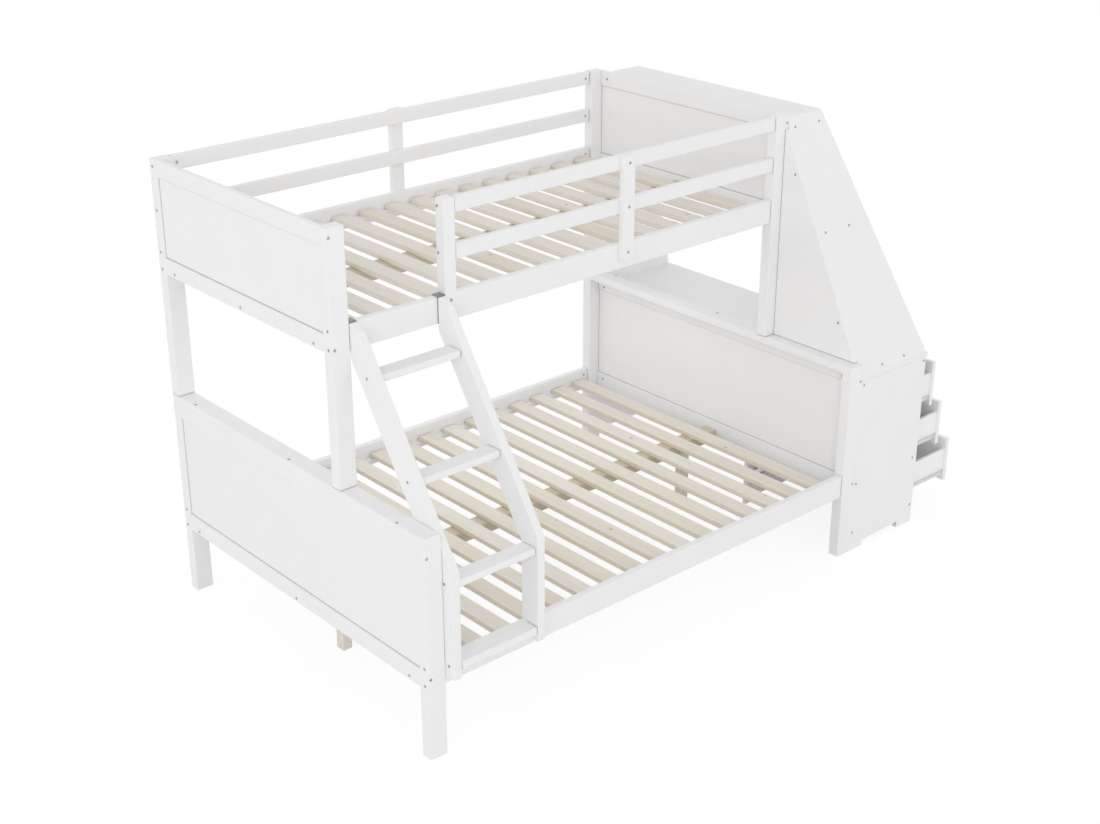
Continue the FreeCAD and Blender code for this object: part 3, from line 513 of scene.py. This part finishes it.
def pine_boards(node, radius, length_axis, wood, edge_shade):
    """Bare boards of a node. Each carries its own place in the timber, lengthways first, and a tone,
    deeper on the side edges than on the top and bottom faces: painted shade, set by the edge shade."""
    mesh = bmesh.new()
    place = mesh.verts.layers.float_vector.new("board")
    tone = mesh.verts.layers.float.new("tone")
    across = [axis for axis in range(3) if axis != length_axis]
    for corners in solids(node):
        low, high = box_of(corners)
        along = chance.uniform(0, TIMBER_LONG)
        pith = (chance.uniform(-PITH_ASIDE, PITH_ASIDE), chance.uniform(*PITH_UNDER))
        shade = chance.random()
        middle = (low + high) / 2
        for vertex in add_board(mesh, low, high, radius):
            local = vertex.co - middle
            vertex[place] = (local[length_axis] + along, local[across[0]] + pith[0],
                             local[across[1]] + pith[1])
            top_or_bottom = min(vertex.co.z - low.z, high.z - vertex.co.z) < HAIR
            vertex[tone] = shade if top_or_bottom else shade + edge_shade
    stand_for(node, mesh, wood)


for bunk in ("lower", "upper"):
    pine_boards(f"{bunk}_slats", SLAT_ROUND, 1, pine, EDGE_SHADE_TONE[bunk])

# Centre beams and legs: a flat pine beam under the middle of each deck. Two square pine legs
# carry the lower one. The beams' pine is painted darker and browner than the laths': painted shade.
BEAM_EDGE_SHADE = 0.4
BEAM_SHADED_PALE = (0.78, 0.71, 0.59)
BEAM_SHADED_DARK = (0.60, 0.52, 0.40)
shaded_beam_pine = bare_timber("shaded_beam_pine", BEAM_SHADED_PALE, BEAM_SHADED_DARK)
for bunk in ("lower", "upper"):
    pine_boards(f"{bunk}_beam", POST_ROUND, 0, shaded_beam_pine, BEAM_EDGE_SHADE)
pine_boards("beam_legs", POST_ROUND, 2, pine, BEAM_EDGE_SHADE)

# Screw plug: it is cut from the same pine, end grain outwards, and pushed into the guard post's
# foot until it stands a little proud of the paint. End grain drinks in the dust, so it is greyer.
PLUG_RADIUS = 0.0062
PLUG_PROUD = 0.0006
PLUG_EASE = 0.00024
PLUG_SIDES = 28
PLUG_IN_TIMBER = Vector((0.02, 7, 0.03))
LAP_HIGH = 0.044
SHARP_TURN = 1  # radians
END_GRAIN_PALE = (0.60, 0.57, 0.46)
END_GRAIN_DARK = (0.46, 0.43, 0.33)
end_grain = bare_timber("pine_end_grain", END_GRAIN_PALE, END_GRAIN_DARK)
plug_mesh = bmesh.new()
plug_board = plug_mesh.verts.layers.float_vector.new("board")
plug_tone = plug_mesh.verts.layers.float.new("tone")
plug_at = Vector(((post_low.x + post_high.x) / 2, post_low.y, post_low.z + LAP_HIGH / 2))
disc = bmesh.ops.create_cone(plug_mesh, cap_ends=True, segments=PLUG_SIDES, radius1=PLUG_RADIUS,
                             radius2=PLUG_RADIUS, depth=2 * PLUG_PROUD)["verts"]
bmesh.ops.rotate(plug_mesh, matrix=Matrix.Rotation(math.pi / 2, 3, "X"), verts=disc)
bmesh.ops.translate(plug_mesh, vec=plug_at, verts=disc)
round_edges(plug_mesh, [edge for edge in plug_mesh.edges if edge.calc_face_angle(0) > SHARP_TURN],
            PLUG_EASE, 2)
for vertex in plug_mesh.verts:
    local = vertex.co - plug_at + PLUG_IN_TIMBER
    vertex[plug_board] = (local.y, local.x, local.z)
    vertex[plug_tone] = 1
new_piece("guard_post_plug", plug_mesh, "bed_frame", "pine", end_grain)

# Slat ledgers: a square timber batten glued along the inside of each side rail and painted with
# it, which the laths lie on.
boards("slat_ledgers", END_RAIL_ROUND, paint_along)

# Ladder: two bent stiles that stand over the lower rail, lean back and meet the upper rail, with
# three rungs between them and a flat step at the foot. All are white timber with soft edges.
STILE_WIDE = 0.080
BEND_FRONT = 0.668
BEND_BACK = 0.630
STILE_HEAD = 0.02944
HEAD_FLAT = 0.008
HEAD_CUT = 0.022
LADDER_ROUND = 0.0045
stile_low, stile_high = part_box("ladder_left_stile")
lower_rail_low, lower_rail_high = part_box("lower_front_rail")
upright_back = stile_low.y + STILE_WIDE
head_front = stile_high.y - STILE_HEAD
lean = (head_front - stile_low.y) / (stile_high.z - BEND_FRONT)
stile_outline = (
    (stile_low.y, stile_low.z),
    (lower_rail_low.y, stile_low.z),
    (lower_rail_low.y, lower_rail_high.z),
    (upright_back, lower_rail_high.z),
    (upright_back, BEND_BACK),
    (stile_high.y, BEND_BACK + (stile_high.y - upright_back) / lean),
    (stile_high.y, stile_high.z),
    (stile_high.y - HEAD_FLAT, stile_high.z),
    (head_front - HEAD_CUT * lean, stile_high.z - HEAD_CUT),
    (stile_low.y, BEND_FRONT),
)
for side in ("left", "right"):
    sawn_piece(f"ladder_{side}_stile", stile_outline, 0, POST_ROUND, paint_up)
# Rung and step ends are greyed with painted shade where they butt on the stiles.
boards("ladder_rungs", LADDER_ROUND, paint_along, [(0, 0), (0, 1)])
boards("ladder_step", POST_ROUND, paint_along, [(0, 0), (0, 1)])

# Ladder straps: flat steel bar, bent over the upper rail behind each stile. The zinc is dull grey
# and a little scuffed.
STRAP_ROUND = 0.0006
STRAP_DROP = 0.025
ZINC_GREY = (0.34, 0.34, 0.335)
ZINC_ROUGH = 0.5
ROUGH_DRIFT = 0.1
STEEL_BLOOM = 0.82
STEEL_DEEP = 0.0001
STEEL_RELIEF = 0.3
DRAWN_LINES = (60, 1400, 1400)


def steel(name, colour, rough):
    """Rolled or pressed steel with fine drawing lines and a dull bloom."""
    material, tree, shader = new_material(name)
    place = place_on_piece(tree)
    bloom = noise(tree, place, 90, detail=4)
    lines = noise(tree, place, 1, stretch=DRAWN_LINES)
    tree.links.new(clouded(tree, bloom, colour, STEEL_BLOOM, 0.32, 0.68), shader.inputs["Base Color"])
    worn = sum_of(tree, (bloom, 0.5), (lines, 0.5))
    tree.links.new(between(tree, worn, rough - ROUGH_DRIFT, rough + ROUGH_DRIFT),
                   shader.inputs["Roughness"])
    raise_surface(tree, shader, lines, STEEL_RELIEF, STEEL_DEEP)
    shader.inputs["Metallic"].default_value = 0.9
    return material


strap_steel = steel("strap_steel", ZINC_GREY, ZINC_ROUGH)
strap_low, strap_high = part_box("ladder_hooks")
strap_outline = (
    (strap_low.y, strap_low.z),
    (rail_low.y, strap_low.z),
    (rail_low.y, rail_high.z),
    (rail_high.y, rail_high.z),
    (rail_high.y, rail_high.z - STRAP_DROP),
    (strap_high.y, rail_high.z - STRAP_DROP),
    (strap_high.y, strap_high.z),
    (strap_low.y, strap_high.z),
)
strap_mesh = bmesh.new()
for corners in solids("ladder_hooks"):
    low, high = box_of(corners)
    sawn(strap_mesh, strap_outline, 0, low.x, high.x)
round_edges(strap_mesh, [edge for edge in strap_mesh.edges if edge.is_convex], STRAP_ROUND)
stand_for("ladder_hooks", strap_mesh, strap_steel)

# Desk: a wide top on three upright sides, each notched at the foot, with flat stretchers and a
# back board in the drawer cabinet. Top and sides are edged board, sprayed white.
BOARD_ROUND = 0.0015
TOP_ROUND = 0.0028
TOE_HIGH = 0.025
TOE_BACK = 0.082
TOE_FRONT = 0.092
boards("desk_top", TOP_ROUND, paint_panel)
for panel in ("drawer_side_panel", "drawer_divider", "desk_wall_side"):
    low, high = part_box(panel)
    sawn_piece(panel, (
        (low.x, low.z),
        (low.x + TOE_BACK, low.z),
        (low.x + TOE_BACK, low.z + TOE_HIGH),
        (high.x - TOE_FRONT, low.z + TOE_HIGH),
        (high.x - TOE_FRONT, low.z),
        (high.x, low.z),
        (high.x, high.z),
        (low.x, high.z),
    ), 1, BOARD_ROUND, paint_panel)
boards("drawer_stretchers", END_RAIL_ROUND, paint_across)
boards("drawer_back_board", PANEL_ROUND, paint_panel)

# Shelf tower: a slanted side and an upright side that narrow towards the top, two shelves between
# them, two aprons under the top one, and a three-cornered board that closes the gap on the cap,
# with a painted shade line where it meets the post and the cap. All are edged board, sprayed white.
NEAR_END = 0.0025
TOWER_ROUND = 0.0008
for part in ("slanted_panel", "shelf_wall_panel", "mid_shelf", "top_shelf", "shelf_aprons", "gap_panel"):
    tapered = bmesh.new()
    for corners in solids(part):
        low, high = box_of(corners)
        ends = [box_of([corner for corner in corners if abs(corner.z - z) < NEAR_END])
                for z in (low.z, high.z)]
        known = set(tapered.edges)
        for vertex in bmesh.ops.create_cube(tapered, size=2)["verts"]:
            upper = vertex.co.z > 0
            near, far = ends[upper]
            vertex.co = (far.x if vertex.co.x > 0 else near.x, far.y if vertex.co.y > 0 else near.y,
                         high.z if upper else low.z)
        round_edges(tapered, [edge for edge in tapered.edges if edge not in known], TOWER_ROUND)
    if part == "gap_panel":
        mark_joint_shade(tapered, *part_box(part), [(1, 1), (2, 0)])
    stand_for(part, tapered, paint_panel)

# Drawer runners: rolled zinc-plated channels on the cabinet sides and angles under the drawer
# sides, each with a nylon roller, as on any cheap drawer.
RUNNER_METAL = 0.0012
RUNNER_LIP = 0.011
RUNNER_EASE = 0.0004
RUNNER_SHORTEST = 0.05
RUNNER_GREY = (0.78, 0.785, 0.79)
RUNNER_ROUGH = 0.42
ROLLER_EASE = 0.12  # of its radius
ROLLER_SIDES = 24
NYLON_WHITE = (0.78, 0.78, 0.75)
NYLON_CLOUD = 0.93
NYLON_ROUGH = (0.38, 0.55)
runner_steel = steel("runner_steel", RUNNER_GREY, RUNNER_ROUGH)
nylon, nylon_tree, nylon_shader = new_material("roller_nylon")
nylon_cloud = noise(nylon_tree, place_on_piece(nylon_tree), 160, detail=3)
nylon_tone = clouded(nylon_tree, nylon_cloud, NYLON_WHITE, NYLON_CLOUD)
nylon_tree.links.new(nylon_tone, nylon_shader.inputs["Base Color"])
nylon_tree.links.new(between(nylon_tree, nylon_cloud, *NYLON_ROUGH), nylon_shader.inputs["Roughness"])


def angle_outline(low, high):
    """The section of the angle under a drawer's near side, within its box."""
    lip = high.y - RUNNER_LIP
    web = lip - RUNNER_METAL
    under = low.z + RUNNER_METAL
    return ((web, low.z), (high.y, low.z), (high.y, under), (lip, under), (lip, high.z), (low.y, high.z),
            (low.y, high.z - RUNNER_METAL), (web, high.z - RUNNER_METAL))


def channel_outline(low, high):
    """The section of the channel on the cabinet's near side, within its box."""
    web = low.y + RUNNER_METAL
    return ((low.y, low.z), (high.y, low.z), (high.y, low.z + RUNNER_METAL), (web, low.z + RUNNER_METAL),
            (web, high.z - RUNNER_METAL), (high.y, high.z - RUNNER_METAL), (high.y, high.z),
            (low.y, high.z))


def runners(node, outline, middle_y):
    """The metal of a node drawn from its section, turned round on the far side, and its rollers."""
    mesh = bmesh.new()
    for corners in solids(node):
        low, high = box_of(corners)
        known = set(mesh.faces)
        if high.x - low.x > RUNNER_SHORTEST:
            section = outline(low, high)
            if low.y > middle_y:
                section = [(low.y + high.y - y, z) for y, z in reversed(section)]
            known_edges = set(mesh.edges)
            sawn(mesh, section, 0, low.x, high.x)
            round_edges(mesh, [edge for edge in mesh.edges if edge not in known_edges and edge.is_convex],
                        RUNNER_EASE, 2)
            continue
        radius = (high.x - low.x) / 2
        wheel = bmesh.ops.create_cone(mesh, cap_ends=True, segments=ROLLER_SIDES, radius1=radius,
                                      radius2=radius, depth=high.y - low.y)["verts"]
        bmesh.ops.rotate(mesh, matrix=Matrix.Rotation(math.pi / 2, 3, "X"), verts=wheel)
        bmesh.ops.translate(mesh, vec=(low + high) / 2, verts=wheel)
        rims = {edge for vertex in wheel for edge in vertex.link_edges
                if edge.calc_face_angle(0) > SHARP_TURN}
        round_edges(mesh, list(rims), radius * ROLLER_EASE, 2)
        for face in mesh.faces:
            if face not in known:
                face.material_index = 1
    stand_for(node, mesh, runner_steel, nylon)


cabinet_low, cabinet_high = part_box("cabinet_runners")
cabinet_middle = (cabinet_low.y + cabinet_high.y) / 2
runners("cabinet_runners", channel_outline, cabinet_middle)

# Drawers: a flat front with rounded edges, a box of thin board foiled white, and a turned knob.
# The bottom one stands furthest out, the top one least.
FRONT_ROUND = 0.003
FOIL_WHITE = (0.945, 0.945, 0.945)
FOIL_CLOUD = 0.975
FOIL_ROUGH = (0.38, 0.52)
FOIL_DEEP = 0.0001
FOIL_RELIEF = 0.3
KNOB_SIDES = 36
KNOB_SHARE = ((0, 0.53), (0.36, 0.47), (0.44, 0.66), (0.52, 0.93), (0.62, 1), (0.84, 1), (0.95, 0.86),
              (1, 0.62))
foil, foil_tree, foil_shader = new_material("drawer_foil")
foil_place = place_on_piece(foil_tree)
foil_cloud = noise(foil_tree, foil_place, 9, detail=4)
dimple = noise(foil_tree, foil_place, 900)
foil_tone = clouded(foil_tree, foil_cloud, FOIL_WHITE, FOIL_CLOUD)
foil_tree.links.new(foil_tone, foil_shader.inputs["Base Color"])
foil_tree.links.new(between(foil_tree, dimple, *FOIL_ROUGH), foil_shader.inputs["Roughness"])
raise_surface(foil_tree, foil_shader, dimple, FOIL_RELIEF, FOIL_DEEP)
for name in ("bottom", "middle", "top"):
    boards(f"{name}_drawer_front", FRONT_ROUND, paint_panel)
    boards(f"{name}_drawer_box", PANEL_ROUND, foil)
    runners(f"{name}_drawer_runners", angle_outline, cabinet_middle)
    low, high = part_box(f"{name}_drawer_knob")
    middle = (low + high) / 2
    radius = (high.z - low.z) / 2
    knob = bmesh.new()
    profile = [knob.verts.new((low.x, middle.y, middle.z))]
    for along, across in KNOB_SHARE:
        profile.append(knob.verts.new((low.x + along * (high.x - low.x), middle.y,
                                       middle.z + across * radius)))
    profile.append(knob.verts.new((high.x, middle.y, middle.z)))
    turned = [knob.edges.new(pair) for pair in zip(profile, profile[1:])]
    bmesh.ops.spin(knob, geom=profile + turned, cent=middle, axis=(1, 0, 0), angle=2 * math.pi,
                   steps=KNOB_SIDES, use_merge=True, use_duplicate=False)
    bmesh.ops.remove_doubles(knob, verts=knob.verts, dist=HAIR)
    stand_for(f"{name}_drawer_knob", knob, paint_up)

# Bolt heads: plated steel button heads with a hexagon socket, drawn up against the faces that
# they clamp. The solids give each one's seat, width and height.
HEAD_SIDES = 18
HEAD_SHARE = ((1, 0), (0.96, 0.5), (0.84, 0.86), (0.66, 1))
SOCKET_SHARE = 0.46
SOCKET_DEEP = 0.8  # of the head's height
BOLT_GREY = (0.54, 0.54, 0.53)
BOLT_ROUGH = 0.38
bolt_steel = steel("bolt_steel", BOLT_GREY, BOLT_ROUGH)
heads = bmesh.new()
for corners in solids("bolts"):
    centre = sum(corners, Vector()) / len(corners)
    reach = [(corner - centre).length for corner in corners]
    half_way = (min(reach) + max(reach)) / 2
    rim = [corner for corner, far in zip(corners, reach) if far > half_way]
    face = [corner for corner, far in zip(corners, reach) if far <= half_way]
    seat = sum(rim, Vector()) / len(rim)
    top = sum(face, Vector()) / len(face)
    radius = (rim[0] - seat).length
    tall = (top - seat).length
    known = set(heads.verts)
    arc = [heads.verts.new((radius * share, 0, tall * rise)) for share, rise in HEAD_SHARE]
    ribs = [heads.edges.new(pair) for pair in zip(arc, arc[1:])]
    bmesh.ops.spin(heads, geom=arc + ribs, cent=(0, 0, 0), axis=(0, 0, 1), angle=2 * math.pi,
                   steps=HEAD_SIDES, use_merge=True, use_duplicate=False)
    crown = [edge for edge in heads.edges
             if edge.is_boundary and edge.verts[0] not in known and edge.verts[0].co.z > tall / 2]
    hexagon = bmesh.ops.create_circle(heads, cap_ends=False, segments=6, radius=radius * SOCKET_SHARE,
                                      matrix=Matrix.Translation((0, 0, tall)))["verts"]
    mouth = list({edge for vertex in hexagon for edge in vertex.link_edges})
    bmesh.ops.bridge_loops(heads, edges=crown + mouth)
    sunk = bmesh.ops.extrude_edge_only(heads, edges=mouth)["geom"]
    bottom = [part for part in sunk if isinstance(part, bmesh.types.BMVert)]
    bmesh.ops.translate(heads, vec=(0, 0, -tall * SOCKET_DEEP), verts=bottom)
    heads.faces.new(sorted(bottom, key=lambda vertex: math.atan2(vertex.co.y, vertex.co.x)))
    made = [vertex for vertex in heads.verts if vertex not in known]
    base = [edge for edge in heads.edges if edge.is_boundary and edge.verts[0] not in known]
    bmesh.ops.edgeloop_fill(heads, edges=base)
    outward = (top - seat).to_track_quat("Z", "Y").to_matrix().to_4x4()
    bmesh.ops.transform(heads, matrix=Matrix.Translation(seat) @ outward, verts=made)
stand_for("bolts", heads, bolt_steel)

# Studio: a wide pale floor, a white sky that dims overhead, a broad soft lamp far out in front of
# the plain end, a faint one under the upper deck that fills the lower bunk, and the camera where
# the photograph was taken from.
FLOOR_REACH = 40
FLOOR_BOUNCE = 0.9
FLOOR_SHADOW = 0.16
FLOOR_GLOW = 0.875
SKY_LOW = 1.085
SKY_HIGH = 0.645
SOFTBOX_SIZE = (9, 7)
SOFTBOX_WATTS = 270
SOFTBOX_AT = Vector((-10.2, -9, 6.2))
SOFTBOX_AIM = Vector((0, 0, 0.9))
FILL_SIZE = (1.7, 0.7)
FILL_WATTS = 2.2
FILL_AT = Vector((-0.3, 0.28, 1.16))
FILL_BLUE = (0.86, 0.93, 1)
VIEW_FROM = (-3.95849, -4.21693, 3.15568)
VIEW_AZIMUTH = math.radians(-41.53)
VIEW_ELEVATION = math.radians(24.15)
VIEW_LENS = 54.43
VIEW_SENSOR = 36


def looked_at(tree):
    """1 for a ray that shows a surface, straight on or in a reflection, and 0 for one that lights it."""
    rays = shader_node(tree, "ShaderNodeLightPath").outputs
    seen = rays["Is Camera Ray"]
    for kind in ("Is Glossy Ray", "Is Transmission Ray"):
        seen = shader_node(tree, "ShaderNodeMath", {0: seen, 1: rays[kind]}, operation="MAXIMUM").outputs[0]
    return seen


def area_lamp(name, size, watts, place):
    """A soft oblong lamp that shines straight down until it is turned."""
    light = bpy.data.lights.new(name, "AREA")
    light.shape = "RECTANGLE"
    light.size, light.size_y = size
    light.energy = watts
    lamp = bpy.data.objects.new(name, light)
    scene.collection.objects.link(lamp)
    lamp.location = place
    return lamp


ground = bmesh.new()
bmesh.ops.create_grid(ground, x_segments=1, y_segments=1, size=FLOOR_REACH)
floor_shape = bpy.data.meshes.new("floor")
ground.to_mesh(floor_shape)
ground.free()
floor = bpy.data.objects.new("floor", floor_shape)
scene.collection.objects.link(floor)
floor_paper = bpy.data.materials.new("floor_paper")
floor_paper.use_nodes = True
paper = floor_paper.node_tree
paper.nodes.clear()
bounce = shader_node(paper, "ShaderNodeBsdfDiffuse", {"Color": (FLOOR_BOUNCE,) * 3 + (1,)})
dim = shader_node(paper, "ShaderNodeBsdfDiffuse", {"Color": (FLOOR_SHADOW,) * 3 + (1,)})
glow = shader_node(paper, "ShaderNodeEmission", {"Color": (1, 1, 1, 1), "Strength": FLOOR_GLOW})
shown = shader_node(paper, "ShaderNodeAddShader", {0: dim.outputs[0], 1: glow.outputs[0]})
both = shader_node(paper, "ShaderNodeMixShader", {0: looked_at(paper), 1: bounce.outputs[0],
                                                  2: shown.outputs[0]})
shader_node(paper, "ShaderNodeOutputMaterial", {"Surface": both.outputs[0]})
floor_shape.materials.append(floor_paper)

sky = bpy.data.worlds.new("studio")
scene.world = sky
sky.use_nodes = True
air = sky.node_tree
air.nodes.clear()
upward = shader_node(air, "ShaderNodeSeparateXYZ",
                     {"Vector": shader_node(air, "ShaderNodeTexCoord").outputs["Generated"]}).outputs["Z"]
light = shader_node(air, "ShaderNodeBackground", {"Color": (1, 1, 1, 1),
                                                  "Strength": between(air, upward, SKY_LOW, SKY_HIGH)})
white = shader_node(air, "ShaderNodeBackground", {"Color": (1, 1, 1, 1), "Strength": 1})
both = shader_node(air, "ShaderNodeMixShader", {0: looked_at(air), 1: light.outputs[0],
                                                2: white.outputs[0]})
shader_node(air, "ShaderNodeOutputWorld", {"Surface": both.outputs[0]})

softbox = area_lamp("softbox", SOFTBOX_SIZE, SOFTBOX_WATTS, SOFTBOX_AT)
softbox.rotation_euler = (SOFTBOX_AIM - SOFTBOX_AT).to_track_quat("-Z", "Y").to_euler()
fill = area_lamp("fill", FILL_SIZE, FILL_WATTS, FILL_AT)
fill.data.color = FILL_BLUE

away = Vector((math.sin(VIEW_AZIMUTH) * math.cos(VIEW_ELEVATION),
               -math.cos(VIEW_AZIMUTH) * math.cos(VIEW_ELEVATION), math.sin(VIEW_ELEVATION)))
camera = bpy.data.objects.new("camera", bpy.data.cameras.new("camera"))
scene.collection.objects.link(camera)
camera.data.lens = VIEW_LENS
camera.data.sensor_width = VIEW_SENSOR
camera.location = VIEW_FROM
camera.rotation_euler = (-away).to_track_quat("-Z", "Y").to_euler()
scene.camera = camera
